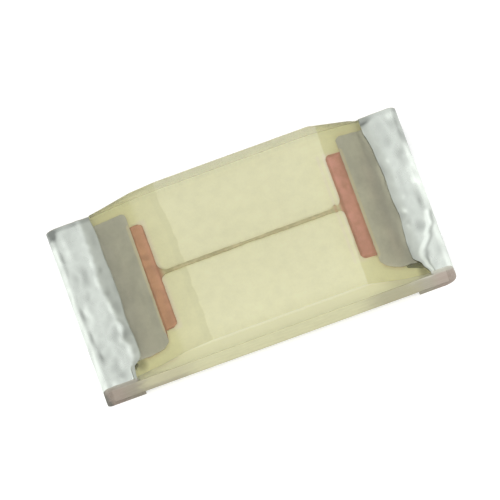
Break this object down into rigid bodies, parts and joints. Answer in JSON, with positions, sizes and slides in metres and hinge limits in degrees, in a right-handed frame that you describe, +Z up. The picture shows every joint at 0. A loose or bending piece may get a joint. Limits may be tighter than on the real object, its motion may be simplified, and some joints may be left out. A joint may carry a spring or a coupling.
{
  "type": "surface-mount chip fuse",
  "caption": "Flat rectangular chip fuse: thin copper link under a clear sloped resin cover, with wrap-round tinned end caps for soldering.",
  "frame": {"origin": "under the middle of the chip, on the plane of its solder lands", "axes": "+X from the left end cap to the right one, +Y across the chip, +Z up from the lands to the cover"},
  "size_m": [0.0032, 0.0016, 0.0006],
  "materials": {
    "laminate": "diced glass-epoxy laminate, pale yellow-olive",
    "copper": "copper, dull terracotta",
    "plated_film": "thin gray plated film, satin",
    "tin": "bright tin, crumpled",
    "clear_resin": "clear yellowish resin, satin"
  },
  "bodies": {
    "root": {"laminate_base": "laminate", "fuse_element": "copper", "pad_plating_left": "plated_film", "pad_plating_right": "plated_film", "end_copper_left": "copper", "end_copper_right": "copper", "end_tin_left": "tin", "end_tin_right": "tin", "clear_cover": "clear_resin"}
  },
  "joints": []
}
